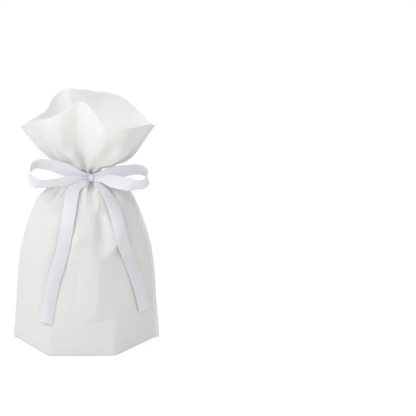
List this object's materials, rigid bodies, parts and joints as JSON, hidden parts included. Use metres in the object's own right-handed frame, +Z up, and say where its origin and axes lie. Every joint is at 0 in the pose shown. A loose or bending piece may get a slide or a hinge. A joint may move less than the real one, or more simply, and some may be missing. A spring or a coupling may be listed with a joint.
{
  "type": "drawstring gift pouch",
  "caption": "Gusseted soft gift pouch, filled out and standing, its neck gathered by a ribbon that is tied in a bow with free tails.",
  "frame": {"origin": "middle of the base, on the ground, under the flat underside of the gusset", "axes": "+Z up along the pouch, -Y towards the bow and the front panel, +X to the right seen from the front"},
  "size_m": [0.153, 0.0808, 0.2781],
  "materials": {
    "pouch_fabric": "thin soft white sheet with a faint satin sheen",
    "casing_fabric": "the same white sheet, matt side",
    "satin_ribbon": "woven satin ribbon, white with a lavender cast"
  },
  "bodies": {
    "pouch": {"front_panel": "pouch_fabric", "back_panel": "pouch_fabric", "bottom_gusset": "pouch_fabric", "front_casing_strip": "casing_fabric", "back_casing_strip": "casing_fabric", "ribbon_back_run": "satin_ribbon", "ribbon_wrap_left": "satin_ribbon", "ribbon_wrap_right": "satin_ribbon", "bow_knot": "satin_ribbon"},
    "loop_left": {"bow_loop_left": "satin_ribbon"},
    "loop_right": {"bow_loop_right": "satin_ribbon"},
    "tail_left": {"ribbon_tail_left": "satin_ribbon"},
    "tail_right": {"ribbon_tail_right": "satin_ribbon"}
  },
  "joints": [
    {"name": "loop_left_lift", "type": "hinge", "parent": "pouch", "child": "loop_left", "pos_m": [0.0016, -0.0188, 0.195], "axis": [0, 1, 0], "range_deg": [0, 10]},
    {"name": "loop_right_lift", "type": "hinge", "parent": "pouch", "child": "loop_right", "pos_m": [0.0094, -0.0188, 0.195], "axis": [0, -1, 0], "range_deg": [0, 10]},
    {"name": "tail_left_lift", "type": "hinge", "parent": "pouch", "child": "tail_left", "pos_m": [0.0028, -0.0198, 0.19], "axis": [-1, 0, 0], "range_deg": [0, 60]},
    {"name": "tail_right_lift", "type": "hinge", "parent": "pouch", "child": "tail_right", "pos_m": [0.0088, -0.0198, 0.19], "axis": [-1, 0, 0], "range_deg": [0, 60]}
  ]
}
